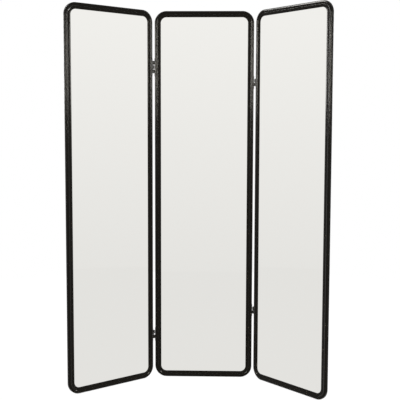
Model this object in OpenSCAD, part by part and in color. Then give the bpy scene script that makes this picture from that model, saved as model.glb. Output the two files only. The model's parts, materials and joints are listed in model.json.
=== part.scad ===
// Three panel floor mirror. Three tall mirrors stand side by side on the floor, each in a
// black hollow moulding with two rounded beads, bent round its four corners. Two pairs of
// block-knuckle hinges join them, so the outer panels fold like the leaves of a screen.
// The origin is on the floor, at the middle of the centre panel's width and depth.
// X runs to the right, Y to the back and Z up.

/* [Panels] */
// Height of each panel
panel_h = 1800; // [1500:10:2000]
// Width of each panel
panel_w = 480; // [400:5:600]
// Outer radius of the frame's bent corners
corner_r = 57; // [48:1:90]
// Space between two panels when they stand in line
panel_gap = 16; // [15:0.5:24]
// Fold of the left panel towards the viewer, in degrees
left_fold = 40.5; // [-100:0.5:107]
// Fold of the right panel towards the viewer, in degrees
right_fold = 49; // [-100:0.5:107]

/* [Frame moulding] */
// Width of the moulding's face
face_w = 30; // [27:0.5:40]
// Depth of the moulding from front to back
frame_depth = 17; // [16:0.5:22]
// Thickness of the moulding's walls
wall = 1.5; // [1:0.1:2]
// Height of the two rounded beads above the face
bead_rise = 2.2; // [1.4:0.1:2.8]
// Width of the groove between the beads
groove_w = 1.6; // [1:0.1:3]
// Width of the plain strip beside each bead
margin_w = 2.4; // [1.8:0.1:3]
// Radius of the outer edge at the front
front_edge_r = 1.6; // [1:0.1:2]
// Radius of the outer edge at the back
back_edge_r = 4; // [2:0.5:4.5]
// Thickness of the lip in front of the glass
lip_t = 1.8; // [1.2:0.1:2.4]
// Width of the rebate behind the lip
rebate_w = 7; // [6:0.5:9]

/* [Mirror and backing board] */
// Thickness of the mirror glass
glass_t = 4; // [3:0.5:5]
// Space around the edge of the glass and the board
edge_play = 1; // [0.5:0.25:1.5]
// Thickness of the glazing tape
tape_t = 1; // [0.5:0.25:1.5]
// Width of the glazing tape
tape_w = 4.5; // [3:0.5:5]
// Thickness of the backing board
board_t = 3; // [2:0.5:4]

/* [Retaining clips] */
// Clips along each stile
stile_clips = 3; // [2:1:6]
// Clips along each rail
rail_clips = 2; // [1:1:4]
// Width of a clip
clip_w = 12; // [10:1:16]
// Thickness of a clip
clip_t = 1.5; // [1:0.1:2]
// Reach of a clip over the moulding
clip_foot = 14; // [13:0.5:16]
// Reach of a clip over the board
clip_toe = 11; // [8:0.5:16]
// Space between a clip and the wall of the rebate
clip_play = 0.6; // [0.4:0.1:1]
// Inner radius of a clip's two bends
clip_bend_r = 0.5; // [0.2:0.1:0.6]
// Radius of a clip screw's shank
clip_screw_r = 1.75; // [1.5:0.05:2]
// Radius of a clip screw's head
clip_head_r = 3.4; // [3:0.1:4]
// Height of a clip screw's head
clip_head_h = 2; // [1.5:0.1:2.5]
// Length of a clip screw under its head
clip_screw_l = 9; // [7:0.5:10]

/* [Hinges] */
// Upper left hinge, from the top of the panel to its middle
upper_left_drop = 267; // [150:1:500]
// Lower left hinge, from the floor to its middle
lower_left_rise = 213; // [120:1:500]
// Upper right hinge, from the top of the panel to its middle
upper_right_drop = 341; // [150:1:500]
// Lower right hinge, from the floor to its middle
lower_right_rise = 339; // [120:1:500]
// Height of a knuckle of the three-knuckle hinge
tall_knuckle_h = 16; // [12:0.5:20]
// Height of a knuckle of the two-knuckle hinges
short_knuckle_h = 15; // [10:0.5:18]
// Bare pin between the knuckles of the upper left hinge
upper_left_neck = 4.5; // [0.5:0.5:10]
// Bare pin between the knuckles of the lower left hinge
lower_left_neck = 9; // [0.5:0.5:12]
// Bare pin between the knuckles of the upper right hinge
upper_right_neck = 3; // [0.5:0.5:10]
// Bare pin between the knuckles of the lower right hinge
lower_right_neck = 3; // [0.5:0.5:10]
// Outer radius of a knuckle
knuckle_r = 5.5; // [4.5:0.1:6]
// Bevel on the rims of a knuckle
knuckle_bevel = 0.6; // [0.3:0.1:1]
// Radius of the hinge pin
pin_r = 2.25; // [1.75:0.05:2.5]
// Radial clearance of the pin in its knuckles
pin_clearance = 0.05; // [0.03:0.01:0.08]
// Radius of the pin's domed head and of its riveted foot
pin_head_r = 3.6; // [3:0.1:4.2]
// Height of the pin's domed head
pin_head_h = 1.8; // [1:0.1:2.5]
// Height of the pin's riveted foot
pin_foot_h = 1; // [0.6:0.1:1.5]
// Play between the pin's ends and the knuckles
pin_end_play = 0.3; // [0.2:0.05:0.5]
// Thickness of a hinge leaf
leaf_t = 1.5; // [1.2:0.1:2]
// Width of a hinge leaf across the moulding's side
leaf_w = 9; // [8:0.5:11]
// Length of a leaf past its knuckles, at each end
leaf_tail = 14; // [12:0.5:20]
// Radius of a leaf's corners
leaf_corner_r = 2.5; // [1:0.5:3.5]
// Radius of a hinge screw's shank
hinge_screw_r = 1.5; // [1.25:0.05:1.75]
// Height of a hinge screw's countersunk head
hinge_head_h = 1.3; // [1:0.05:1.45]
// Length of a hinge screw from the face of its leaf
hinge_screw_l = 9; // [6:0.5:9]

/* [Screw fit] */
// Radial clearance around a screw
screw_clearance = 0.15; // [0.1:0.05:0.3]
// Width of the slots in a screw's cross recess
slot_w = 0.8; // [0.6:0.1:1]
// Depth of a screw's cross recess
slot_depth = 0.9; // [0.6:0.1:1.2]

/* [Hidden] */

$fn = 72;
black_enamel = [0.09, 0.09, 0.085];
silvered = [0.88, 0.88, 0.86];
foam_grey = [0.25, 0.25, 0.25];
board_brown = [0.42, 0.3, 0.2];
zinc = [0.7, 0.71, 0.72];
// Overlap that lets joined shapes run into each other
merge = 0.5;

// Opening that shows the mirror
sight_w = panel_w - 2 * face_w;
sight_h = panel_h - 2 * face_w;
sight_r = corner_r - face_w;

// Depths behind the front of the moulding
lip_back = bead_rise + lip_t;
glass_front = lip_back + tape_t;
glass_back = glass_front + glass_t;
board_back = glass_back + board_t;

// The beads share what the groove and the plain strips leave of the face
bead_w = (face_w - groove_w - 2 * margin_w) / 2;
bead_r = (bead_w * bead_w / 4 + bead_rise * bead_rise) / (2 * bead_rise);
inner_bead_x = margin_w + bead_w / 2;
outer_bead_x = face_w - margin_w - bead_w / 2;

// Hollow of the moulding
hollow_x = rebate_w + wall;
hollow_end = face_w - wall;
hollow_front = bead_rise + wall;
hollow_back = frame_depth - wall;
hollow_front_r = max(front_edge_r - wall, 0.1);
hollow_back_r = max(back_edge_r - wall, 0.1);

// Walls of the rebate and the screws of the clips, from the panel's middle
rebate_x = sight_w / 2 + rebate_w;
rebate_z = sight_h / 2 + rebate_w;
clip_screw_x = clip_foot - clip_w / 2;

// Backs of the board and of the moulding, from the middle of the panel's depth
board_y = board_back - frame_depth / 2;
back_y = frame_depth / 2;

// Hinges: height of the middle, knuckles, height of a knuckle and bare pin between knuckles
upper_left = [panel_h - upper_left_drop, 3, tall_knuckle_h, upper_left_neck];
lower_left = [lower_left_rise, 2, short_knuckle_h, lower_left_neck];
upper_right = [panel_h - upper_right_drop, 2, short_knuckle_h, upper_right_neck];
lower_right = [lower_right_rise, 2, short_knuckle_h, lower_right_neck];
function stack_h(hinge) = hinge[1] * hinge[2] + (hinge[1] - 1) * hinge[3];
function leaf_screw_z(hinge) = stack_h(hinge) / 2 + leaf_tail / 2;

// The knuckles' owners, counted from the lowest knuckle
centre_owned = 0;
side_owned = 1;
pin_x = panel_w / 2 + panel_gap / 2;
seat_x = panel_gap / 2;
leaf_face_x = seat_x - leaf_t;
bore_r = pin_r + pin_clearance;
hinge_head_r = hinge_screw_r + hinge_head_h;

// ---- the moulding's section: x runs outwards from the sight edge, y is minus the depth ----

module bead(x) {
    intersection() {
        translate([x, -bead_r]) circle(bead_r);
        translate([x - bead_w / 2, -bead_rise - merge]) square([bead_w, bead_rise + merge]);
    }
}

module bead_hollow(x) {
    intersection() {
        translate([x, -bead_r]) circle(bead_r - wall);
        translate([hollow_x, -hollow_front - merge])
            square([hollow_end - hollow_x, hollow_front + merge]);
    }
}

// A box with its two outer edges rounded, from x0 to x1 and from depth d0 to d1
module section_box(x0, x1, d0, d1, front_r, back_r) {
    middle = (d0 + d1) / 2;
    translate([x0, -d1]) square([x1 - x0 - max(front_r, back_r), d1 - d0]);
    translate([x0, -d1 + back_r]) square([x1 - x0, d1 - d0 - front_r - back_r]);
    translate([x0, -middle]) square([x1 - x0 - front_r, middle - d0]);
    translate([x0, -d1]) square([x1 - x0 - back_r, d1 - middle]);
    translate([x1 - front_r, -d0 - front_r]) circle(front_r);
    translate([x1 - back_r, -d1 + back_r]) circle(back_r);
}

module moulding_section() {
    difference() {
        union() {
            section_box(rebate_w, face_w, bead_rise, frame_depth, front_edge_r, back_edge_r);
            translate([lip_t / 2, -lip_back]) square([rebate_w - lip_t / 2 + merge, lip_t]);
            translate([lip_t / 2, -lip_back + lip_t / 2]) circle(lip_t / 2);
            bead(inner_bead_x);
            bead(outer_bead_x);
        }
        section_box(hollow_x, hollow_end, hollow_front, hollow_back, hollow_front_r, hollow_back_r);
        bead_hollow(inner_bead_x);
        bead_hollow(outer_bead_x);
    }
}

// ---- shapes of one upright panel: its middle is at X 0 and Y 0, and it stands at Z 0 ----

module rounded_plate(w, h, r) {
    square([w - 2 * r, h], center = true);
    square([w, h - 2 * r], center = true);
    for (x = [-1, 1], y = [-1, 1])
        translate([x * (w / 2 - r), y * (h / 2 - r)]) circle(r);
}

// A plate that follows the sight opening, grown by a margin, between two depths
module pane(grow, front, back) {
    translate([0, back - frame_depth / 2, panel_h / 2]) rotate([90, 0, 0])
        linear_extrude(back - front) rounded_plate(sight_w + 2 * grow, sight_h + 2 * grow, sight_r + grow);
}

// The section swept along four straight runs and round four corners
module bent_moulding() {
    translate([0, -frame_depth / 2, panel_h / 2]) rotate([90, 0, 0])
        for (quarter = [0:3]) {
            across = quarter % 2 == 0 ? panel_w : panel_h;
            along = quarter % 2 == 0 ? panel_h : panel_w;
            run = along - 2 * corner_r;
            rotate([0, 0, 90 * quarter]) {
                translate([across / 2 - face_w, run / 2, 0]) rotate([90, 0, 0])
                    linear_extrude(run) moulding_section();
                translate([across / 2 - corner_r, run / 2, 0])
                    rotate_extrude(angle = 90) translate([sight_r, 0]) moulding_section();
            }
        }
}

// Places along the stiles and the rails, each with X outwards from the rebate's wall
module at_clips() {
    for (side = [-1, 1], i = [0 : stile_clips - 1])
        translate([side * rebate_x, 0, panel_h * (i + 0.5) / stile_clips])
            rotate([0, side > 0 ? 0 : 180, 0]) children();
    for (side = [-1, 1], i = [0 : rail_clips - 1])
        translate([panel_w * ((i + 0.5) / rail_clips - 0.5), 0, panel_h / 2 + side * rebate_z])
            rotate([0, -90 * side, 0]) children();
}

// Holes in the side of a stile for the screws of a hinge, side is -1 for left and 1 for right
module hinge_holes(side, hinge) {
    for (end = [-1, 1])
        translate([side * (panel_w / 2 - wall / 2), 0, hinge[0] + end * leaf_screw_z(hinge)])
            rotate([0, 90, 0])
                cylinder(r = hinge_screw_r + screw_clearance, h = 2 * wall, center = true);
}

module frame() {
    difference() {
        bent_moulding();
        at_clips()
            translate([clip_screw_x, frame_depth / 2 - wall / 2, 0]) rotate([90, 0, 0])
                cylinder(r = clip_screw_r + screw_clearance, h = 2 * wall, center = true);
        children();
    }
}

module glazing_tape() {
    difference() {
        pane(rebate_w - edge_play, lip_back, glass_front);
        pane(rebate_w - edge_play - tape_w, lip_back - merge, glass_front + merge);
    }
}

module mirror_glass() {
    pane(rebate_w - edge_play, glass_front, glass_back);
}

module backing_board() {
    pane(rebate_w - edge_play, glass_back, board_back);
}

// What a round of radius r leaves or fills in a corner whose edges run along +X and +Y
module corner_piece(r) {
    difference() {
        translate([-merge, -merge]) square(r + merge);
        translate([r, r]) circle(r);
    }
}

// A strip bent twice: its toe lies on the board and its foot on the moulding's back
module clip_profile() {
    outer_r = clip_bend_r + clip_t;
    difference() {
        polygon([
            [-clip_toe, board_y],
            [-clip_play, board_y],
            [-clip_play, back_y],
            [clip_foot, back_y],
            [clip_foot, back_y + clip_t],
            [-clip_play - clip_t, back_y + clip_t],
            [-clip_play - clip_t, board_y + clip_t],
            [-clip_toe, board_y + clip_t]
        ]);
        translate([-clip_play, board_y]) rotate(90) corner_piece(outer_r);
        translate([-clip_play - clip_t, back_y + clip_t]) rotate(-90) corner_piece(outer_r);
    }
    translate([-clip_play - clip_t, board_y + clip_t]) rotate(90) corner_piece(clip_bend_r);
    translate([-clip_play, back_y]) rotate(-90) corner_piece(clip_bend_r);
}

// An offset clip that presses the board and the glass against the frame's lip
module clip() {
    difference() {
        intersection() {
            translate([0, 0, -clip_w / 2]) linear_extrude(clip_w) clip_profile();
            translate([0, back_y + clip_t + merge, 0]) rotate([90, 0, 0])
                linear_extrude(frame_depth) {
                    translate([-clip_toe, -clip_w / 2]) square([clip_toe + clip_screw_x, clip_w]);
                    translate([clip_screw_x, 0]) circle(clip_w / 2);
                }
        }
        translate([clip_screw_x, back_y + clip_t / 2, 0]) rotate([90, 0, 0])
            cylinder(r = clip_screw_r + screw_clearance, h = 2 * clip_t, center = true);
    }
}

// Two crossed slots sunk from the top of a screw's head, at Z 0 downwards
module cross_recess(length) {
    for (turn = [0, 90])
        rotate([0, 0, turn]) translate([0, 0, -slot_depth / 2])
            cube([length, slot_w, slot_depth + merge], center = true);
}

// A screw with a domed head: it stands on Z 0 and its shank points down
module domed_screw() {
    dome_r = (clip_head_r * clip_head_r + clip_head_h * clip_head_h) / (2 * clip_head_h);
    tip_h = clip_screw_r;
    difference() {
        intersection() {
            translate([0, 0, clip_head_h - dome_r]) sphere(dome_r);
            cylinder(r = clip_head_r + merge, h = clip_head_h + merge);
        }
        translate([0, 0, clip_head_h]) cross_recess(clip_head_r);
    }
    translate([0, 0, tip_h - clip_screw_l]) cylinder(r = clip_screw_r, h = clip_screw_l - tip_h + merge);
    translate([0, 0, -clip_screw_l]) cylinder(r1 = 0, r2 = clip_screw_r, h = tip_h);
}

module clip_screws() {
    at_clips()
        translate([clip_screw_x, frame_depth / 2 + clip_t, 0]) rotate([-90, 0, 0]) domed_screw();
}

// ---- hinge pieces: the pin's axis is at X 0 and Y 0, and the leaf's panel lies towards +X ----

module knuckle(h) {
    difference() {
        union() {
            rotate_extrude() polygon([
                [0, 0],
                [knuckle_r - knuckle_bevel, 0],
                [knuckle_r, knuckle_bevel],
                [knuckle_r, h - knuckle_bevel],
                [knuckle_r - knuckle_bevel, h],
                [0, h]
            ]);
            translate([0, -leaf_w / 2, 0]) cube([leaf_face_x + leaf_t / 2, leaf_w, h]);
        }
        translate([0, 0, -merge]) cylinder(r = bore_r, h = h + 2 * merge);
    }
}

// A screwed-on leaf with the knuckles that it owns
module leaf(hinge, first_knuckle) {
    pitch = hinge[2] + hinge[3];
    translate([0, 0, hinge[0]]) {
        difference() {
            translate([leaf_face_x, 0, 0]) rotate([90, 0, 90])
                linear_extrude(leaf_t) rounded_plate(leaf_w, stack_h(hinge) + 2 * leaf_tail, leaf_corner_r);
            for (end = [-1, 1])
                translate([leaf_face_x, 0, end * leaf_screw_z(hinge)]) rotate([0, 90, 0]) {
                    cylinder(r1 = hinge_head_r + screw_clearance, r2 = hinge_screw_r + screw_clearance,
                             h = hinge_head_h);
                    translate([0, 0, -merge])
                        cylinder(r = hinge_screw_r + screw_clearance, h = leaf_t + 2 * merge);
                }
        }
        for (k = [first_knuckle : 2 : hinge[1] - 1])
            translate([0, 0, k * pitch - stack_h(hinge) / 2]) knuckle(hinge[2]);
    }
}

// The pin with its domed head above the top knuckle and its riveted foot below the lowest
module pin(hinge) {
    reach = stack_h(hinge) / 2 + pin_end_play;
    dome_r = (pin_head_r * pin_head_r + pin_head_h * pin_head_h) / (2 * pin_head_h);
    translate([0, 0, hinge[0]]) {
        translate([0, 0, -reach - merge]) cylinder(r = pin_r, h = 2 * (reach + merge));
        translate([0, 0, -reach - pin_foot_h]) cylinder(r = pin_head_r, h = pin_foot_h);
        intersection() {
            translate([0, 0, reach + pin_head_h - dome_r]) sphere(dome_r);
            translate([0, 0, reach]) cylinder(r = pin_head_r + merge, h = pin_head_h + merge);
        }
    }
}

// A countersunk screw: the top of its head is at Z 0 and its shank points down
module flush_screw() {
    tip_h = hinge_screw_r;
    difference() {
        union() {
            translate([0, 0, -hinge_head_h])
                cylinder(r1 = hinge_screw_r, r2 = hinge_head_r, h = hinge_head_h);
            translate([0, 0, tip_h - hinge_screw_l])
                cylinder(r = hinge_screw_r, h = hinge_screw_l - tip_h - merge);
            translate([0, 0, -hinge_screw_l]) cylinder(r1 = 0, r2 = hinge_screw_r, h = tip_h);
        }
        cross_recess(hinge_head_r);
    }
}

module leaf_screws(hinge) {
    for (end = [-1, 1])
        translate([leaf_face_x, 0, hinge[0] + end * leaf_screw_z(hinge)])
            rotate([0, -90, 0]) flush_screw();
}

// ---- places of the panels and of the hinges' leaves ----

module on_left_panel() {
    translate([-pin_x, 0, 0]) rotate([0, 0, left_fold])
        translate([-(panel_w + panel_gap) / 2, 0, 0]) children();
}

module on_right_panel() {
    translate([pin_x, 0, 0]) rotate([0, 0, -right_fold])
        translate([(panel_w + panel_gap) / 2, 0, 0]) children();
}

module at_left_pin(turn) {
    translate([-pin_x, 0, 0]) rotate([0, 0, turn]) children();
}

module at_right_pin(turn) {
    translate([pin_x, 0, 0]) rotate([0, 0, turn]) children();
}

// Turns that point a leaf's +X from the pin towards its own panel
left_hinge_to_centre = 0;
left_hinge_to_side = 180 + left_fold;
right_hinge_to_centre = 180;
right_hinge_to_side = -right_fold;

// ---- centre panel ----

module centre_frame() {
    color(black_enamel) frame() {
        hinge_holes(-1, upper_left);
        hinge_holes(-1, lower_left);
        hinge_holes(1, upper_right);
        hinge_holes(1, lower_right);
    }
}

module centre_glazing_tape() {
    color(foam_grey) glazing_tape();
}

module centre_mirror_glass() {
    color(silvered) mirror_glass();
}

module centre_backing_board() {
    color(board_brown) backing_board();
}

module centre_retaining_clips() {
    color(zinc) at_clips() clip();
}

module centre_clip_screws() {
    color(zinc) clip_screws();
}

// ---- left panel ----

module left_frame() {
    color(black_enamel) on_left_panel() frame() {
        hinge_holes(1, upper_left);
        hinge_holes(1, lower_left);
    }
}

module left_glazing_tape() {
    color(foam_grey) on_left_panel() glazing_tape();
}

module left_mirror_glass() {
    color(silvered) on_left_panel() mirror_glass();
}

module left_backing_board() {
    color(board_brown) on_left_panel() backing_board();
}

module left_retaining_clips() {
    color(zinc) on_left_panel() at_clips() clip();
}

module left_clip_screws() {
    color(zinc) on_left_panel() clip_screws();
}

// ---- right panel ----

module right_frame() {
    color(black_enamel) on_right_panel() frame() {
        hinge_holes(-1, upper_right);
        hinge_holes(-1, lower_right);
    }
}

module right_glazing_tape() {
    color(foam_grey) on_right_panel() glazing_tape();
}

module right_mirror_glass() {
    color(silvered) on_right_panel() mirror_glass();
}

module right_backing_board() {
    color(board_brown) on_right_panel() backing_board();
}

module right_retaining_clips() {
    color(zinc) on_right_panel() at_clips() clip();
}

module right_clip_screws() {
    color(zinc) on_right_panel() clip_screws();
}

// ---- upper left hinge ----

module upper_left_hinge_centre_leaf() {
    color(black_enamel) at_left_pin(left_hinge_to_centre) leaf(upper_left, centre_owned);
}

module upper_left_hinge_side_leaf() {
    color(black_enamel) at_left_pin(left_hinge_to_side) leaf(upper_left, side_owned);
}

module upper_left_hinge_pin() {
    color(black_enamel) at_left_pin(left_hinge_to_centre) pin(upper_left);
}

module upper_left_hinge_centre_screws() {
    color(black_enamel) at_left_pin(left_hinge_to_centre) leaf_screws(upper_left);
}

module upper_left_hinge_side_screws() {
    color(black_enamel) at_left_pin(left_hinge_to_side) leaf_screws(upper_left);
}

// ---- lower left hinge ----

module lower_left_hinge_centre_leaf() {
    color(black_enamel) at_left_pin(left_hinge_to_centre) leaf(lower_left, centre_owned);
}

module lower_left_hinge_side_leaf() {
    color(black_enamel) at_left_pin(left_hinge_to_side) leaf(lower_left, side_owned);
}

module lower_left_hinge_pin() {
    color(black_enamel) at_left_pin(left_hinge_to_centre) pin(lower_left);
}

module lower_left_hinge_centre_screws() {
    color(black_enamel) at_left_pin(left_hinge_to_centre) leaf_screws(lower_left);
}

module lower_left_hinge_side_screws() {
    color(black_enamel) at_left_pin(left_hinge_to_side) leaf_screws(lower_left);
}

// ---- upper right hinge ----

module upper_right_hinge_centre_leaf() {
    color(black_enamel) at_right_pin(right_hinge_to_centre) leaf(upper_right, centre_owned);
}

module upper_right_hinge_side_leaf() {
    color(black_enamel) at_right_pin(right_hinge_to_side) leaf(upper_right, side_owned);
}

module upper_right_hinge_pin() {
    color(black_enamel) at_right_pin(right_hinge_to_centre) pin(upper_right);
}

module upper_right_hinge_centre_screws() {
    color(black_enamel) at_right_pin(right_hinge_to_centre) leaf_screws(upper_right);
}

module upper_right_hinge_side_screws() {
    color(black_enamel) at_right_pin(right_hinge_to_side) leaf_screws(upper_right);
}

// ---- lower right hinge ----

module lower_right_hinge_centre_leaf() {
    color(black_enamel) at_right_pin(right_hinge_to_centre) leaf(lower_right, centre_owned);
}

module lower_right_hinge_side_leaf() {
    color(black_enamel) at_right_pin(right_hinge_to_side) leaf(lower_right, side_owned);
}

module lower_right_hinge_pin() {
    color(black_enamel) at_right_pin(right_hinge_to_centre) pin(lower_right);
}

module lower_right_hinge_centre_screws() {
    color(black_enamel) at_right_pin(right_hinge_to_centre) leaf_screws(lower_right);
}

module lower_right_hinge_side_screws() {
    color(black_enamel) at_right_pin(right_hinge_to_side) leaf_screws(lower_right);
}

centre_frame();
centre_glazing_tape();
centre_mirror_glass();
centre_backing_board();
centre_retaining_clips();
centre_clip_screws();
left_frame();
left_glazing_tape();
left_mirror_glass();
left_backing_board();
left_retaining_clips();
left_clip_screws();
right_frame();
right_glazing_tape();
right_mirror_glass();
right_backing_board();
right_retaining_clips();
right_clip_screws();
upper_left_hinge_centre_leaf();
upper_left_hinge_side_leaf();
upper_left_hinge_pin();
upper_left_hinge_centre_screws();
upper_left_hinge_side_screws();
lower_left_hinge_centre_leaf();
lower_left_hinge_side_leaf();
lower_left_hinge_pin();
lower_left_hinge_centre_screws();
lower_left_hinge_side_screws();
upper_right_hinge_centre_leaf();
upper_right_hinge_side_leaf();
upper_right_hinge_pin();
upper_right_hinge_centre_screws();
upper_right_hinge_side_screws();
lower_right_hinge_centre_leaf();
lower_right_hinge_side_leaf();
lower_right_hinge_pin();
lower_right_hinge_centre_screws();
lower_right_hinge_side_screws();
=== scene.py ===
"""Looks of the three panel floor mirror: black frames, silvered glass, pinned hinges, boarded backs."""
import json
import math

import bpy
from mathutils import Matrix, Vector

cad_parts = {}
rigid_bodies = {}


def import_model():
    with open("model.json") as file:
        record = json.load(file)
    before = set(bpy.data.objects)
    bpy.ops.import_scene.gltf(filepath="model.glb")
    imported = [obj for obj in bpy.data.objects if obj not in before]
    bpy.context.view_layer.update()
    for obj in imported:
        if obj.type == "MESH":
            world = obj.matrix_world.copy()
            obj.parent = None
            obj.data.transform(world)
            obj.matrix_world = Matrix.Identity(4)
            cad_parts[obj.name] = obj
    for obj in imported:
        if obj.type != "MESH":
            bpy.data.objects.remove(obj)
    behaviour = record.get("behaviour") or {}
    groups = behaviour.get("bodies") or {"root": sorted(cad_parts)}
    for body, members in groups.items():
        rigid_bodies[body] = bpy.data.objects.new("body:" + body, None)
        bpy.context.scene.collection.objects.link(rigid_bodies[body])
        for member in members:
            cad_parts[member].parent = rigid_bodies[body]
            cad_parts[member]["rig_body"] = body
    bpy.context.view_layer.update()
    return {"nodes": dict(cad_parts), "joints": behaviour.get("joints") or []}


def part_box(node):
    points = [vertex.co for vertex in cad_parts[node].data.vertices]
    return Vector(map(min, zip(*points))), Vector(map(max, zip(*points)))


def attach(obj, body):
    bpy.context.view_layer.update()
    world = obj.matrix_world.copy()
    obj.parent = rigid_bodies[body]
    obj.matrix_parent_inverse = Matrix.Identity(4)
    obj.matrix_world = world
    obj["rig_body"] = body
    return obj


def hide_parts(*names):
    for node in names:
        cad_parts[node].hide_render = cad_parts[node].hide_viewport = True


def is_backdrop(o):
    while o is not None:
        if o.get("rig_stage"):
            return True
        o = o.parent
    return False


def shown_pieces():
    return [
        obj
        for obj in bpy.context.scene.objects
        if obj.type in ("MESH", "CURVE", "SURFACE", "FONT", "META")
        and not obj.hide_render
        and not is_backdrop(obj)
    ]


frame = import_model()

# ---- sizes, in metres, and turns, in radians ----

MM = 0.001
QUARTER_TURN = math.radians(90)

PANEL_LOW, PANEL_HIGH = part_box("centre_frame")
PANEL_W = PANEL_HIGH.x - PANEL_LOW.x
PANEL_H = PANEL_HIGH.z - PANEL_LOW.z
FRAME_DEPTH = PANEL_HIGH.y - PANEL_LOW.y
PANEL_MIDDLE = Vector((0, 0, PANEL_H / 2))
# The x of the pins that each fold turns on
PIN_X = {joint["name"]: joint["pos_m"][0] for joint in frame["joints"]}
# How far the side panels are folded towards the viewer at rest
LEFT_FOLD = math.radians(40.5)
RIGHT_FOLD = math.radians(49)
# Each panel: the x of its pins and its turn about them
PANELS = {
    "centre": (0, 0),
    "left": (PIN_X["left_fold"], LEFT_FOLD),
    "right": (PIN_X["right_fold"], -RIGHT_FOLD)}

# The moulding: its face, the forms on it, its edges, and the lip and rebate that hold the glass
FACE_W = 30 * MM
CORNER_R = 57 * MM
BEAD_RISE = 2.2 * MM
SLOPE_DROP = 1.8 * MM
GROOVE_W = 1.6 * MM
MARGIN_W = 2.4 * MM
FRONT_EDGE_R = 1.6 * MM
BACK_EDGE_R = 4 * MM
LIP_T = 1.8 * MM
REBATE_W = 7 * MM
CREASE_R = 0.35 * MM

# The sheets' corners follow the rebate's, with this play round the edge
EDGE_PLAY = 1 * MM
SHEET_CORNER_R = CORNER_R - FACE_W + REBATE_W - EDGE_PLAY
GLASS_ARRIS = 0.4 * MM
BOARD_ARRIS = 0.25 * MM

# Width of the rounding on small metal parts, by a word in their names
BROKEN_EDGES = {"leaf": 0.25 * MM, "pin": 0.2 * MM, "retaining_clips": 0.2 * MM, "screws": 0.08 * MM}

# Steps in each curve. The sloping band has as many as the bead.
LIP_STEPS = 8
BEAD_STEPS = 14
FRONT_EDGE_STEPS = 6
BACK_EDGE_STEPS = 8
CREASE_STEPS = 2
CORNER_STEPS = 24
SHEET_CORNER_STEPS = 12
ROUNDING_STEPS = 2

# Vertices nearer than this are one, in a modelled piece and in a copy of a CAD node
MERGE = MM / 100
CAD_MERGE = MM / 1000
# Faces are shaded smooth up to the first angle, rounded past the second and joined up to the third
SMOOTH_ANGLE = math.radians(25)
SHARP_ANGLE = math.radians(40)
FLAT_ANGLE = math.radians(1)
# A face looks straight forwards or back when its normal has this much along Y
SQUARE_ON = 0.99


def panel_matrix(panel):
    """Takes a piece from the centre panel to the same place on a panel.

    A side panel's middle is as far beyond its pins as the centre panel's is before them.
    """
    pin_x, turn = PANELS[panel]
    to_pin = Matrix.Translation((pin_x, 0, 0))
    return to_pin @ Matrix.Rotation(turn, 4, "Z") @ to_pin


# ---- modelling steps ----


def pick(piece):
    """Selects one piece alone and makes it the active one."""
    bpy.ops.object.select_all(action="DESELECT")
    piece.select_set(True)
    bpy.context.view_layer.objects.active = piece


def add_square(name, size, place, rotation=(0, 0, 0)):
    """Adds the square that a piece starts from, all selected in edit mode."""
    bpy.ops.object.select_all(action="DESELECT")
    bpy.ops.mesh.primitive_plane_add(size=size, location=place, rotation=rotation)
    piece = bpy.context.object
    piece.name = piece.data.name = name
    bpy.ops.object.mode_set(mode="EDIT")
    bpy.ops.mesh.select_all(action="SELECT")
    return piece


def start_point(name, origin, place):
    """Begins a piece as one vertex at a place, with its origin elsewhere, and leaves it in edit mode."""
    piece = add_square(name, MM, origin)
    bpy.ops.mesh.merge(type="CENTER")
    bpy.ops.transform.translate(value=Vector(place) - Vector(origin))
    return piece


def draw_outline(points):
    """Extrudes the selected vertex, which is at the first point, round a closed outline."""
    here = points[0]
    for there in points[1:]:
        bpy.ops.mesh.extrude_region_move(TRANSFORM_OT_translate={"value": there - here})
        here = there
    bpy.ops.mesh.extrude_region_move(TRANSFORM_OT_translate={"value": points[0] - here})
    bpy.ops.mesh.select_all(action="SELECT")
    bpy.ops.mesh.remove_doubles(threshold=MERGE)
    bpy.ops.mesh.edge_face_add()


def select_vertices(piece, wanted):
    """Selects the vertices whose place in the shared frame passes a test."""
    bpy.ops.mesh.select_all(action="DESELECT")
    bpy.ops.object.mode_set(mode="OBJECT")
    for vertex in piece.data.vertices:
        vertex.select = wanted(piece.matrix_world @ vertex.co)
    bpy.ops.object.mode_set(mode="EDIT")


def apply_modifiers(piece):
    """Applies a piece's modifiers in their order."""
    pick(piece)
    for modifier in list(piece.modifiers):
        bpy.ops.object.modifier_apply(modifier=modifier.name)


def settle(piece, matrix=None):
    """Moves a piece by a matrix, if one is given, and applies its place to its mesh."""
    pick(piece)
    if matrix is not None:
        piece.matrix_world = matrix @ piece.matrix_world
    bpy.ops.object.transform_apply(location=True, rotation=True, scale=True)


def copy_piece(piece, name):
    """A copy of a piece with its own mesh."""
    pick(piece)
    bpy.ops.object.duplicate(linked=False)
    copy = bpy.context.object
    copy.name = copy.data.name = name
    return copy


def copy_to_panel(centre, kind, panel):
    """A copy of the centre panel's piece, in the same place on a side panel."""
    copy = copy_piece(centre, panel + "_" + kind)
    settle(copy, panel_matrix(panel))
    return copy


def close_and_smooth(piece):
    """Merges doubled vertices, turns the faces outwards and smooths all but the sharp edges."""
    pick(piece)
    bpy.ops.object.mode_set(mode="EDIT")
    bpy.ops.mesh.select_all(action="SELECT")
    bpy.ops.mesh.remove_doubles(threshold=MERGE)
    bpy.ops.mesh.normals_make_consistent(inside=False)
    bpy.ops.object.mode_set(mode="OBJECT")
    bpy.ops.object.shade_smooth_by_angle(angle=SMOOTH_ANGLE)


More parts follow.
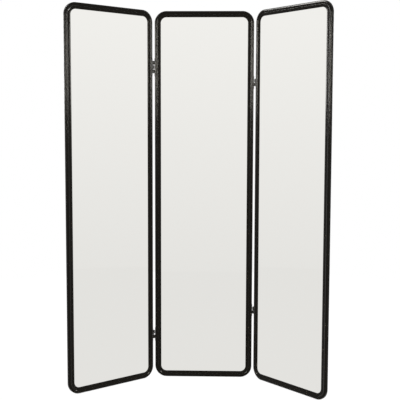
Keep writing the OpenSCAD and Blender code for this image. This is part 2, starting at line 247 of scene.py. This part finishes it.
def round_edges(piece, width):
    """Rounds a piece's sharp edges and leaves the shallow ones of its curves."""
    rounding = piece.modifiers.new("rounding", "BEVEL")
    rounding.width = width
    rounding.segments = ROUNDING_STEPS
    rounding.use_clamp_overlap = False
    rounding.limit_method = "ANGLE"
    rounding.angle_limit = SHARP_ANGLE
    apply_modifiers(piece)
    close_and_smooth(piece)


# ---- the moulding, bent round its four corners ----


def arc(middle, radius, start, end, steps):
    """Points on an arc of the section. The angle is 0 at the front and grows outwards, in degrees."""
    turns = [math.radians(start + (end - start) * step / steps) for step in range(steps + 1)]
    return [(middle[0] + radius * math.sin(t), middle[1] - radius * math.cos(t)) for t in turns]


def moulding_section():
    """The section's points in their order, and those of them that are creases.

    A point is its distance outwards from the sight edge and its depth behind the front. From the
    sight edge outwards the face has a lip, a plain strip, a band that slopes to the glass, a groove,
    a bead, another plain strip and the rounded edge.
    """
    band_w = (FACE_W - GROOVE_W - 2 * MARGIN_W) / 2
    slope_turn = 2 * math.atan(SLOPE_DROP / band_w)
    slope_r = band_w / math.sin(slope_turn)
    slope_top = MARGIN_W + band_w
    slope_middle = (slope_top, BEAD_RISE - SLOPE_DROP + slope_r)
    bead_r = (band_w ** 2 / 4 + BEAD_RISE ** 2) / (2 * BEAD_RISE)
    bead_half_turn = math.degrees(math.asin(band_w / 2 / bead_r))
    bead_middle = (FACE_W - MARGIN_W - band_w / 2, bead_r)
    lip_middle = (LIP_T / 2, BEAD_RISE + LIP_T / 2)
    front_middle = (FACE_W - FRONT_EDGE_R, BEAD_RISE + FRONT_EDGE_R)
    back_middle = (FACE_W - BACK_EDGE_R, FRAME_DEPTH - BACK_EDGE_R)
    lip = arc(lip_middle, LIP_T / 2, 180, 360, LIP_STEPS)
    slope = arc(slope_middle, slope_r, -math.degrees(slope_turn), 0, BEAD_STEPS)
    groove_corner = [(slope_top, BEAD_RISE)]
    bead = arc(bead_middle, bead_r, -bead_half_turn, bead_half_turn, BEAD_STEPS)
    front_edge = arc(front_middle, FRONT_EDGE_R, 0, 90, FRONT_EDGE_STEPS)
    back_edge = arc(back_middle, BACK_EDGE_R, 90, 180, BACK_EDGE_STEPS)
    rebate = [(REBATE_W, FRAME_DEPTH), (REBATE_W, BEAD_RISE + LIP_T)]
    section = lip + slope + groove_corner + bead + front_edge + back_edge + rebate
    creases = [slope[0], slope[-1], bead[0], bead[-1]] + groove_corner + rebate
    return section, creases


def on_right_stile(point):
    """The place of a point of the section on the centre panel's right stile, at mid-height."""
    outwards, depth = point
    sight_x = PANEL_W / 2 - FACE_W
    return Vector((sight_x + outwards, depth - FRAME_DEPTH / 2, PANEL_MIDDLE.z))


def bent_moulding():
    """One frame: the section drawn at mid-height, run up, spun round a corner, run across and mirrored."""
    section, creases = moulding_section()
    outline = [on_right_stile(point) for point in section]
    folds = [on_right_stile(point) for point in creases]
    piece = start_point("centre_moulding", PANEL_MIDDLE, outline[0])
    draw_outline(outline)
    select_vertices(piece, lambda place: any((place - fold).length < MERGE for fold in folds))
    bpy.ops.mesh.bevel(offset=CREASE_R, segments=CREASE_STEPS, affect="VERTICES")
    bpy.ops.mesh.select_all(action="SELECT")
    bpy.ops.mesh.delete(type="ONLY_FACE")
    bpy.ops.mesh.select_all(action="SELECT")
    half_stile = PANEL_H / 2 - CORNER_R
    bpy.ops.mesh.extrude_region_move(TRANSFORM_OT_translate={"value": (0, 0, half_stile)})
    corner = (PANEL_W / 2 - CORNER_R, 0, PANEL_H - CORNER_R)
    bpy.ops.mesh.spin(steps=CORNER_STEPS, angle=QUARTER_TURN, center=corner, axis=(0, 1, 0))
    half_rail = PANEL_W / 2 - CORNER_R
    bpy.ops.mesh.extrude_region_move(TRANSFORM_OT_translate={"value": (-half_rail, 0, 0)})
    bpy.ops.object.mode_set(mode="OBJECT")
    mirror = piece.modifiers.new("halves", "MIRROR")
    mirror.use_axis = (True, False, True)
    mirror.merge_threshold = MERGE
    apply_modifiers(piece)
    settle(piece)
    close_and_smooth(piece)
    return piece


def make_frames():
    """The three frames."""
    centre = bent_moulding()
    centre.data.materials.append(black_enamel)
    frames = {"centre": centre}
    for panel in ("left", "right"):
        frames[panel] = copy_to_panel(centre, "moulding", panel)
    for panel, moulding in frames.items():
        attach(moulding, panel + "_panel")
        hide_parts(panel + "_frame")


# ---- the panes, the boards and the small metal parts ----


def rounded_sheet(name, node, arris):
    """A sheet with round corners and fine ground edges, as large as a node of the centre panel."""
    low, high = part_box(node)
    front = Vector(((low.x + high.x) / 2, low.y, (low.z + high.z) / 2))
    piece = add_square(name, 1, front, rotation=(QUARTER_TURN, 0, 0))
    bpy.ops.transform.resize(value=(high.x - low.x, 1, high.z - low.z), center_override=front)
    bpy.ops.mesh.bevel(offset=SHEET_CORNER_R, segments=SHEET_CORNER_STEPS, affect="VERTICES")
    bpy.ops.mesh.select_all(action="SELECT")
    bpy.ops.mesh.extrude_region_move(TRANSFORM_OT_translate={"value": (0, high.y - low.y, 0)})
    bpy.ops.object.mode_set(mode="OBJECT")
    settle(piece)
    close_and_smooth(piece)
    round_edges(piece, arris)
    return piece


def finish_faces(piece, front, back, edge):
    """Gives an upright sheet its finishes: one in front, one behind and one round the edge."""
    for finish in (front, back, edge):
        piece.data.materials.append(finish)
    for face in piece.data.polygons:
        if face.normal.y < -SQUARE_ON:
            face.material_index = 0
        elif face.normal.y > SQUARE_ON:
            face.material_index = 1
        else:
            face.material_index = 2


def fit_sheets(centre, kind, node):
    """Copies the centre panel's sheet to the same place on each side panel, attaches every sheet to its
    panel and hides the node that it stands for.
    """
    for panel in PANELS:
        sheet = centre
        if panel != "centre":
            sheet = copy_to_panel(centre, kind, panel)
        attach(sheet, panel + "_panel")
        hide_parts(panel + "_" + node)


def make_sheets():
    """The mirror panes, silvered in front and painted behind, and the backing boards."""
    pane = rounded_sheet("centre_pane", "centre_mirror_glass", GLASS_ARRIS)
    finish_faces(pane, mirror_silver, mirror_back, glass_edge)
    board = rounded_sheet("centre_board", "centre_backing_board", BOARD_ARRIS)
    board.data.materials.append(hardboard)
    fit_sheets(pane, "pane", "mirror_glass")
    fit_sheets(board, "board", "backing_board")


def break_edges():
    """Takes the sharp edges off copies of the leaves, pins, clips and screws, as a maker does.

    A copy has the finish of its node.
    """
    for name, node in frame["nodes"].items():
        widths = [width for word, width in BROKEN_EDGES.items() if word in name]
        if not widths:
            continue
        piece = bpy.data.objects.new(name + "_deburred", node.data.copy())
        piece.data.name = piece.name
        bpy.context.scene.collection.objects.link(piece)
        pick(piece)
        bpy.ops.object.mode_set(mode="EDIT")
        bpy.ops.mesh.select_all(action="SELECT")
        bpy.ops.mesh.remove_doubles(threshold=CAD_MERGE)
        bpy.ops.mesh.dissolve_limited(angle_limit=FLAT_ANGLE)
        bpy.ops.object.mode_set(mode="OBJECT")
        round_edges(piece, widths[0])
        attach(piece, node["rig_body"])
        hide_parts(name)


# ---- finishes ----

# Colours, as red, green, blue and opacity
FRAME_PAINT = (0.0048, 0.0036, 0.0022, 1)
WORN_FRAME_PAINT = (0.03, 0.028, 0.025, 1)
HINGE_PAINT = (0.0065, 0.0055, 0.004, 1)
WORN_HINGE_PAINT = (0.06, 0.057, 0.052, 1)
WARM_GLOSS = (1, 0.96, 0.87, 1)
WARM_SILVER = (0.871, 0.863, 0.831, 1)
BRIGHT_ZINC = (0.62, 0.63, 0.64, 1)
DULL_ZINC = (0.48, 0.5, 0.53, 1)
DARK_FIBRE = (0.06, 0.03, 0.016, 1)
LIGHT_FIBRE = (0.27, 0.145, 0.075, 1)
# Colours that a coat's own mottling shades, as red, green and blue
BACK_PAINT_GREY = (0.21, 0.24, 0.25)
GLASS_EDGE_GREEN = (0.03, 0.07, 0.055)


def new_group(name, inputs, outputs):
    """An empty node group with named sockets, and its input and output nodes."""
    group = bpy.data.node_groups.new(name, "ShaderNodeTree")
    for label, kind, value in inputs:
        socket = group.interface.new_socket(label, in_out="INPUT", socket_type=kind)
        if value is not None:
            socket.default_value = value
    for label, kind in outputs:
        group.interface.new_socket(label, in_out="OUTPUT", socket_type=kind)
    return group, group.nodes.new("NodeGroupInput"), group.nodes.new("NodeGroupOutput")


def add_node(tree, kind, **settings):
    """A node with its settings."""
    made = tree.nodes.new(kind)
    for name, value in settings.items():
        setattr(made, name, value)
    return made


def set_inputs(made, **values):
    """Sets a node's sockets by name, with underscores for the spaces."""
    for name, value in values.items():
        made.inputs[name.replace("_", " ")].default_value = value


def mottle_group():
    """A soft uneven value between two ends, as on hand-wiped or sprayed surfaces."""
    group, given, result = new_group(
        "mottle",
        [("Vector", "NodeSocketVector", None), ("Scale", "NodeSocketFloat", 20.0),
         ("Low", "NodeSocketFloat", 0.3), ("High", "NodeSocketFloat", 0.4)],
        [("Value", "NodeSocketFloat")])
    clouds = add_node(group, "ShaderNodeTexNoise")
    set_inputs(clouds, Detail=4.0, Roughness=0.55)
    spread = add_node(group, "ShaderNodeMapRange")
    set_inputs(spread, From_Min=0.35, From_Max=0.65)
    link = group.links.new
    link(given.outputs["Vector"], clouds.inputs["Vector"])
    link(given.outputs["Scale"], clouds.inputs["Scale"])
    link(clouds.outputs["Fac"], spread.inputs["Value"])
    link(given.outputs["Low"], spread.inputs["To Min"])
    link(given.outputs["High"], spread.inputs["To Max"])
    link(spread.outputs["Result"], result.inputs["Value"])
    return group


def orange_peel_group():
    """The fine ripple that sprayed paint dries with, as a normal."""
    group, given, result = new_group(
        "orange_peel",
        [("Vector", "NodeSocketVector", None), ("Scale", "NodeSocketFloat", 400.0),
         ("Strength", "NodeSocketFloat", 0.1), ("Depth", "NodeSocketFloat", 0.0001)],
        [("Normal", "NodeSocketVector")])
    ripple = add_node(group, "ShaderNodeTexNoise")
    set_inputs(ripple, Detail=2.0, Roughness=0.5)
    bump = add_node(group, "ShaderNodeBump")
    link = group.links.new
    link(given.outputs["Vector"], ripple.inputs["Vector"])
    link(given.outputs["Scale"], ripple.inputs["Scale"])
    link(ripple.outputs["Fac"], bump.inputs["Height"])
    link(given.outputs["Strength"], bump.inputs["Strength"])
    link(given.outputs["Depth"], bump.inputs["Distance"])
    link(bump.outputs["Normal"], result.inputs["Normal"])
    return group


def edge_rub_group():
    """A broken mask along the edges, where handling rubs the paint."""
    group, given, result = new_group(
        "edge_rub",
        [("Vector", "NodeSocketVector", None), ("Width", "NodeSocketFloat", 0.0008),
         ("Amount", "NodeSocketFloat", 0.5)],
        [("Mask", "NodeSocketFloat")])
    rounded = add_node(group, "ShaderNodeBevel", samples=4)
    plain = add_node(group, "ShaderNodeNewGeometry")
    likeness = add_node(group, "ShaderNodeVectorMath", operation="DOT_PRODUCT")
    edge = add_node(group, "ShaderNodeMapRange")
    set_inputs(edge, From_Min=0.98, From_Max=0.85)
    patches = add_node(group, "ShaderNodeTexNoise")
    set_inputs(patches, Scale=60.0, Detail=5.0)
    breaks = add_node(group, "ShaderNodeMapRange")
    set_inputs(breaks, From_Min=0.45, From_Max=0.6)
    both = add_node(group, "ShaderNodeMath", operation="MULTIPLY")
    amount = add_node(group, "ShaderNodeMath", operation="MULTIPLY")
    link = group.links.new
    link(given.outputs["Width"], rounded.inputs["Radius"])
    link(rounded.outputs["Normal"], likeness.inputs[0])
    link(plain.outputs["Normal"], likeness.inputs[1])
    link(likeness.outputs["Value"], edge.inputs["Value"])
    link(given.outputs["Vector"], patches.inputs["Vector"])
    link(patches.outputs["Fac"], breaks.inputs["Value"])
    link(edge.outputs["Result"], both.inputs[0])
    link(breaks.outputs["Result"], both.inputs[1])
    link(both.outputs["Value"], amount.inputs[0])
    link(given.outputs["Amount"], amount.inputs[1])
    link(amount.outputs["Value"], result.inputs["Mask"])
    return group


def new_finish(name):
    """A material with its node tree, its Principled shader and its object coordinates."""
    material = bpy.data.materials.new(name)
    material.use_nodes = True
    tree = material.node_tree
    tree.nodes.clear()
    output = add_node(tree, "ShaderNodeOutputMaterial")
    shader = add_node(tree, "ShaderNodeBsdfPrincipled")
    place = add_node(tree, "ShaderNodeTexCoord")
    tree.links.new(shader.outputs["BSDF"], output.inputs["Surface"])
    return material, tree, shader, place.outputs["Object"]


def add_group(tree, group, vector, **values):
    """A shared effect placed in a material with its own values."""
    made = add_node(tree, "ShaderNodeGroup", node_tree=group)
    set_inputs(made, **values)
    tree.links.new(vector, made.inputs["Vector"])
    return made


def painted_metal(name, paint, worn, specular, smooth, rough, rub):
    """Sprayed enamel: a fine ripple, a warm uneven gloss and edges that handling has worn."""
    material, tree, shader, place = new_finish(name)
    set_inputs(shader, Specular_IOR_Level=specular, Specular_Tint=WARM_GLOSS)
    gloss = add_group(tree, mottle, place, Scale=14.0, Low=smooth, High=rough)
    ripple = add_group(tree, orange_peel, place, Scale=520.0, Strength=0.12, Depth=0.00005)
    rubbed = add_group(tree, edge_rub, place, Width=0.0007, Amount=rub)
    colour = add_node(tree, "ShaderNodeMix", data_type="RGBA")
    set_inputs(colour, A=paint, B=worn)
    link = tree.links.new
    link(rubbed.outputs["Mask"], colour.inputs["Factor"])
    link(colour.outputs["Result"], shader.inputs["Base Color"])
    link(gloss.outputs["Value"], shader.inputs["Roughness"])
    link(ripple.outputs["Normal"], shader.inputs["Normal"])
    return material


def silvered_glass():
    """A clean mirror: warm silver with a breath of haze and the faint waver of float glass."""
    material, tree, shader, place = new_finish("silvered_glass")
    set_inputs(shader, Base_Color=WARM_SILVER, Metallic=1)
    haze = add_group(tree, mottle, place, Scale=5.0, Low=0.01, High=0.03)
    waver = add_group(tree, orange_peel, place, Scale=3.0, Strength=0.02, Depth=0.0005)
    tree.links.new(haze.outputs["Value"], shader.inputs["Roughness"])
    tree.links.new(waver.outputs["Normal"], shader.inputs["Normal"])
    return material


def plain_coat(name, colour, specular, smooth, rough):
    """A thin coat or ground face, a little uneven in tone and gloss, with the grain of roller or stone."""
    material, tree, shader, place = new_finish(name)
    set_inputs(shader, Specular_IOR_Level=specular)
    tone = add_group(tree, mottle, place, Scale=25.0, Low=0.85, High=1.0)
    gloss = add_group(tree, mottle, place, Scale=60.0, Low=smooth, High=rough)
    grain = add_group(tree, orange_peel, place, Scale=900.0, Strength=0.2, Depth=0.00005)
    shade = add_node(tree, "ShaderNodeVectorMath", operation="SCALE")
    shade.inputs[0].default_value = colour
    link = tree.links.new
    link(tone.outputs["Value"], shade.inputs["Scale"])
    link(shade.outputs["Vector"], shader.inputs["Base Color"])
    link(gloss.outputs["Value"], shader.inputs["Roughness"])
    link(grain.outputs["Normal"], shader.inputs["Normal"])
    return material


def foam_tape():
    """Dark closed-cell foam."""
    material, tree, shader, place = new_finish("foam_tape")
    set_inputs(shader, Specular_IOR_Level=0.2, Roughness=0.9)
    cells = add_group(tree, orange_peel, place, Scale=1500.0, Strength=0.6, Depth=0.0002)
    tone = add_group(tree, mottle, place, Scale=900.0, Low=0.012, High=0.03)
    tree.links.new(tone.outputs["Value"], shader.inputs["Base Color"])
    tree.links.new(cells.outputs["Normal"], shader.inputs["Normal"])
    return material


def pressed_board():
    """Brown hardboard with fibres in its colour and the screen pattern of its press in its relief.

    All three boards share it, so the screen's upright bands stand further apart on the folded panels.
    """
    material, tree, shader, place = new_finish("hardboard")
    set_inputs(shader, Specular_IOR_Level=0.3)
    fibres = add_node(tree, "ShaderNodeTexNoise")
    set_inputs(fibres, Scale=160.0, Detail=6.0, Roughness=0.7)
    patches = add_group(tree, mottle, place, Scale=2.2, Low=0.46, High=0.56)
    gloss = add_group(tree, mottle, place, Scale=30.0, Low=0.5, High=0.65)
    both = add_node(tree, "ShaderNodeMath", operation="MULTIPLY")
    browns = add_node(tree, "ShaderNodeValToRGB")
    dark, light = browns.color_ramp.elements
    dark.position = 0.1
    dark.color = DARK_FIBRE
    light.position = 0.6
    light.color = LIGHT_FIBRE
    link = tree.links.new
    link(place, fibres.inputs["Vector"])
    link(fibres.outputs["Fac"], both.inputs[0])
    link(patches.outputs["Value"], both.inputs[1])
    link(both.outputs["Value"], browns.inputs["Fac"])
    link(browns.outputs["Color"], shader.inputs["Base Color"])
    link(gloss.outputs["Value"], shader.inputs["Roughness"])
    wires = []
    for direction in ("X", "Z"):
        wire = add_node(tree, "ShaderNodeTexWave", bands_direction=direction)
        set_inputs(wire, Scale=180.0, Distortion=0.4, Detail=1.0)
        link(place, wire.inputs["Vector"])
        wires.append(wire)
    screen = add_node(tree, "ShaderNodeMath", operation="MULTIPLY")
    relief = add_node(tree, "ShaderNodeBump")
    set_inputs(relief, Strength=0.5, Distance=0.0002)
    link(wires[0].outputs["Fac"], screen.inputs[0])
    link(wires[1].outputs["Fac"], screen.inputs[1])
    link(screen.outputs["Value"], relief.inputs["Height"])
    link(relief.outputs["Normal"], shader.inputs["Normal"])
    return material


def zinc_plated_steel():
    """Bright zinc plate with the dull, slightly blue patches that it weathers to."""
    material, tree, shader, place = new_finish("zinc_plate")
    set_inputs(shader, Metallic=1)
    bloom = add_group(tree, mottle, place, Scale=90.0, Low=0.0, High=1.0)
    gloss = add_group(tree, mottle, place, Scale=140.0, Low=0.28, High=0.45)
    grain = add_group(tree, orange_peel, place, Scale=1800.0, Strength=0.2, Depth=0.00005)
    colour = add_node(tree, "ShaderNodeMix", data_type="RGBA")
    set_inputs(colour, A=BRIGHT_ZINC, B=DULL_ZINC)
    link = tree.links.new
    link(bloom.outputs["Value"], colour.inputs["Factor"])
    link(colour.outputs["Result"], shader.inputs["Base Color"])
    link(gloss.outputs["Value"], shader.inputs["Roughness"])
    link(grain.outputs["Normal"], shader.inputs["Normal"])
    return material


def finish_cad_nodes():
    """Finishes the tapes, and the hinges, clips and screws, whose deburred copies keep the finish."""
    finishes = {"tape": tape_foam, "hinge": hinge_black, "clip": zinc_plate}
    for name, node in frame["nodes"].items():
        for word, finish in finishes.items():
            if word in name:
                for material_slot in node.material_slots:
                    material_slot.material = finish


# ---- the studio ----

# Brightness that a white surface gets from the surroundings alone
ROOM_LEVEL = 0.62
# What mirrors and gloss see: white above the second rise, and a little less below the first
GLOSS_LOW = 0.882
GLOSS_LOW_AT = math.sin(math.radians(-12))
GLOSS_HIGH_AT = math.sin(math.radians(7.5))


def seen_directly(tree):
    """The ray's kinds, and 1 for rays from the camera, gloss or glass and 0 for diffuse ones."""
    path = add_node(tree, "ShaderNodeLightPath")
    either = add_node(tree, "ShaderNodeMath", operation="MAXIMUM")
    any_of = add_node(tree, "ShaderNodeMath", operation="MAXIMUM")
    tree.links.new(path.outputs["Is Camera Ray"], either.inputs[0])
    tree.links.new(path.outputs["Is Glossy Ray"], either.inputs[1])
    tree.links.new(either.outputs["Value"], any_of.inputs[0])
    tree.links.new(path.outputs["Is Transmission Ray"], any_of.inputs[1])
    return path, any_of.outputs["Value"]


def make_surroundings():
    """A white studio: plain soft light for surfaces, and a pale sweep for the eye and for mirrors."""
    world = bpy.data.worlds.new("studio")
    bpy.context.scene.world = world
    world.use_nodes = True
    tree = world.node_tree
    tree.nodes.clear()
    output = add_node(tree, "ShaderNodeOutputWorld")
    light = add_node(tree, "ShaderNodeBackground")
    set_inputs(light, Color=(1, 1, 1, 1), Strength=ROOM_LEVEL)
    sweep = add_node(tree, "ShaderNodeBackground")
    set_inputs(sweep, Color=(1, 1, 1, 1))
    direction = add_node(tree, "ShaderNodeTexCoord")
    height = add_node(tree, "ShaderNodeSeparateXYZ")
    fade = add_node(tree, "ShaderNodeMapRange")
    set_inputs(fade, From_Min=GLOSS_LOW_AT, From_Max=GLOSS_HIGH_AT, To_Min=GLOSS_LOW, To_Max=1.0)
    white = add_node(tree, "ShaderNodeMath", operation="MAXIMUM")
    path, direct = seen_directly(tree)
    blend = add_node(tree, "ShaderNodeMixShader")
    link = tree.links.new
    link(direction.outputs["Generated"], height.inputs["Vector"])
    link(height.outputs["Z"], fade.inputs["Value"])
    link(fade.outputs["Result"], white.inputs[0])
    link(path.outputs["Is Camera Ray"], white.inputs[1])
    link(white.outputs["Value"], sweep.inputs["Strength"])
    link(direct, blend.inputs["Fac"])
    link(light.outputs["Background"], blend.inputs[1])
    link(sweep.outputs["Background"], blend.inputs[2])
    link(blend.outputs["Shader"], output.inputs["Surface"])


FLOOR_R = 3.0
FLOOR_SIDES = 96
FLOOR_GREY = (0.86, 0.86, 0.86, 1)
# Share of the floor's own shading that shows under the white, so that it keeps the shadow
FLOOR_SHADING = 0.15
# The floor's own white, which makes up for what its shading lacks
FLOOR_WHITE = 1.075
# Distances from the floor's middle between which the shading fades out
SHADOW_FADE_FROM = 0.9
SHADOW_FADE_TO = 1.8


def floor_finish():
    """A pale floor that shows white, with the mirror's soft shadow near its foot."""
    material, tree, shader, place = new_finish("pale_floor")
    set_inputs(shader, Base_Color=FLOOR_GREY, Roughness=0.8)
    output = tree.nodes["Material Output"]
    glow = add_node(tree, "ShaderNodeEmission")
    distance = add_node(tree, "ShaderNodeVectorMath", operation="LENGTH")
    fade = add_node(tree, "ShaderNodeMapRange", interpolation_type="SMOOTHSTEP")
    set_inputs(fade, From_Min=SHADOW_FADE_FROM, From_Max=SHADOW_FADE_TO)
    set_inputs(fade, To_Min=1 - FLOOR_SHADING, To_Max=1.0)
    path, direct = seen_directly(tree)
    gloss_level = add_node(tree, "ShaderNodeMapRange")
    set_inputs(gloss_level, To_Min=GLOSS_LOW, To_Max=FLOOR_WHITE)
    cover = add_node(tree, "ShaderNodeMath", operation="MAXIMUM")
    share = add_node(tree, "ShaderNodeMath", operation="MULTIPLY")
    not_camera = add_node(tree, "ShaderNodeMath", operation="SUBTRACT")
    not_camera.inputs[0].default_value = 1
    blend = add_node(tree, "ShaderNodeMixShader")
    link = tree.links.new
    link(place, distance.inputs[0])
    link(distance.outputs["Value"], fade.inputs["Value"])
    link(path.outputs["Is Camera Ray"], not_camera.inputs[1])
    link(not_camera.outputs["Value"], cover.inputs[0])
    link(fade.outputs["Result"], cover.inputs[1])
    link(cover.outputs["Value"], share.inputs[0])
    link(direct, share.inputs[1])
    link(path.outputs["Is Camera Ray"], gloss_level.inputs["Value"])
    link(gloss_level.outputs["Result"], glow.inputs["Strength"])
    link(share.outputs["Value"], blend.inputs["Fac"])
    link(shader.outputs["BSDF"], blend.inputs[1])
    link(glow.outputs["Emission"], blend.inputs[2])
    link(blend.outputs["Shader"], output.inputs["Surface"])
    return material


def make_floor():
    """The round floor under the mirror."""
    bpy.ops.object.select_all(action="DESELECT")
    bpy.ops.mesh.primitive_circle_add(
        vertices=FLOOR_SIDES, radius=FLOOR_R, fill_type="NGON", location=(0, 0, 0))
    floor = bpy.context.object
    floor.name = floor.data.name = "floor"
    floor.data.materials.append(floor_finish())
    floor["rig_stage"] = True


# Every lamp's distance from its aim, and the height of the softboxes' aim
LAMP_DISTANCE = 3.5
HEAD_HEIGHT = 1.85
# Each lamp: its turn to the right of straight ahead and its rise, both in degrees, and its watts.
# Softboxes at head height light the upper stiles. The sloping bands beside the hinges hardly face them.
LEVEL_SOFTBOXES = ((-120, 0, 45), (-40, 0, 150), (34, 0, 110), (100, 0, 70))
LEVEL_SOFTBOX_W = 0.7
LEVEL_SOFTBOX_H = 0.8
# One high up on the left draws a light line along the right panel's rails
HIGH_SOFTBOX = (-94, 42, 380)
HIGH_SOFTBOX_SIZE = 1.6
# A large soft lamp, high behind the mirror, shapes the boards and clips
BACK_LAMP = (150, 42, 80)
BACK_LAMP_SIZE = 1.6


def add_lamp(name, aim, width, height, setting):
    """An area lamp, in its place round the point that it is aimed at."""
    turn, rise, power = setting
    bpy.ops.object.light_add(type="AREA")
    lamp = bpy.context.object
    lamp.name = lamp.data.name = name
    lamp.data.shape = "RECTANGLE"
    lamp.data.size = width
    lamp.data.size_y = height
    lamp.data.energy = power
    bearing = Matrix.Rotation(math.radians(turn), 4, "Z") @ Matrix.Rotation(math.radians(-rise), 4, "X")
    upright = Matrix.Rotation(QUARTER_TURN, 4, "X")
    ahead = Matrix.Translation((0, -LAMP_DISTANCE, 0)) @ upright
    lamp.matrix_world = Matrix.Translation(aim) @ bearing @ ahead
    return lamp


def make_lamps():
    """Softboxes that light the frames' gloss alone, clear of the mirrors' view, and a lamp for the back.

    Reflections leave the mirror's own pieces out, so the softboxes cast no shadows of them either.
    """
    head = (0, 0, HEAD_HEIGHT)
    softboxes = [add_lamp("level_softbox", head, LEVEL_SOFTBOX_W, LEVEL_SOFTBOX_H, setting)
                 for setting in LEVEL_SOFTBOXES]
    high_softbox = add_lamp("high_softbox", head, HIGH_SOFTBOX_SIZE, HIGH_SOFTBOX_SIZE, HIGH_SOFTBOX)
    softboxes.append(high_softbox)
    for softbox in softboxes:
        softbox.visible_diffuse = False
        softbox.data.use_shadow = False
    back_lamp = add_lamp("back_softbox", PANEL_MIDDLE, BACK_LAMP_SIZE, BACK_LAMP_SIZE, BACK_LAMP)
    back_lamp.visible_glossy = False


# Fitted to the frames' straight edges in the photograph. The lens is in millimetres.
CAMERA_PLACE = (0.0875, -3.9418, 1.2303)
CAMERA_LENS = 72.434
CAMERA_YAW = math.radians(1.5457)
CAMERA_TILT = math.radians(-4.9854)
CAMERA_ROLL = math.radians(0.1566)


def make_camera():
    """The photograph's viewpoint, about four metres ahead at chest height."""
    bpy.ops.object.camera_add()
    camera = bpy.context.object
    camera.name = "photo_view"
    camera.data.lens = CAMERA_LENS
    tilted = Matrix.Rotation(QUARTER_TURN + CAMERA_TILT, 4, "X")
    turn = Matrix.Rotation(CAMERA_YAW, 4, "Z") @ tilted @ Matrix.Rotation(CAMERA_ROLL, 4, "Z")
    camera.matrix_world = Matrix.Translation(CAMERA_PLACE) @ turn
    bpy.context.scene.camera = camera


# ---- the shared effects, the finishes and the scene ----

mottle = mottle_group()
orange_peel = orange_peel_group()
edge_rub = edge_rub_group()

black_enamel = painted_metal(
    "black_enamel", FRAME_PAINT, WORN_FRAME_PAINT, specular=0.1, smooth=0.16, rough=0.2, rub=0.5)
hinge_black = painted_metal(
    "hinge_black", HINGE_PAINT, WORN_HINGE_PAINT, specular=0.16, smooth=0.32, rough=0.45, rub=0.7)
mirror_silver = silvered_glass()
mirror_back = plain_coat("mirror_back_paint", BACK_PAINT_GREY, specular=0.3, smooth=0.5, rough=0.65)
glass_edge = plain_coat("ground_glass_edge", GLASS_EDGE_GREEN, specular=0.4, smooth=0.3, rough=0.45)
tape_foam = foam_tape()
hardboard = pressed_board()
zinc_plate = zinc_plated_steel()

make_camera()
make_surroundings()
make_floor()
make_lamps()
finish_cad_nodes()
make_frames()
make_sheets()
break_edges()

# The photographed mirrors show only the studio, so reflections leave the mirror's own pieces out
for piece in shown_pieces():
    piece.visible_glossy = False

bpy.context.scene.view_settings.view_transform = "Standard"
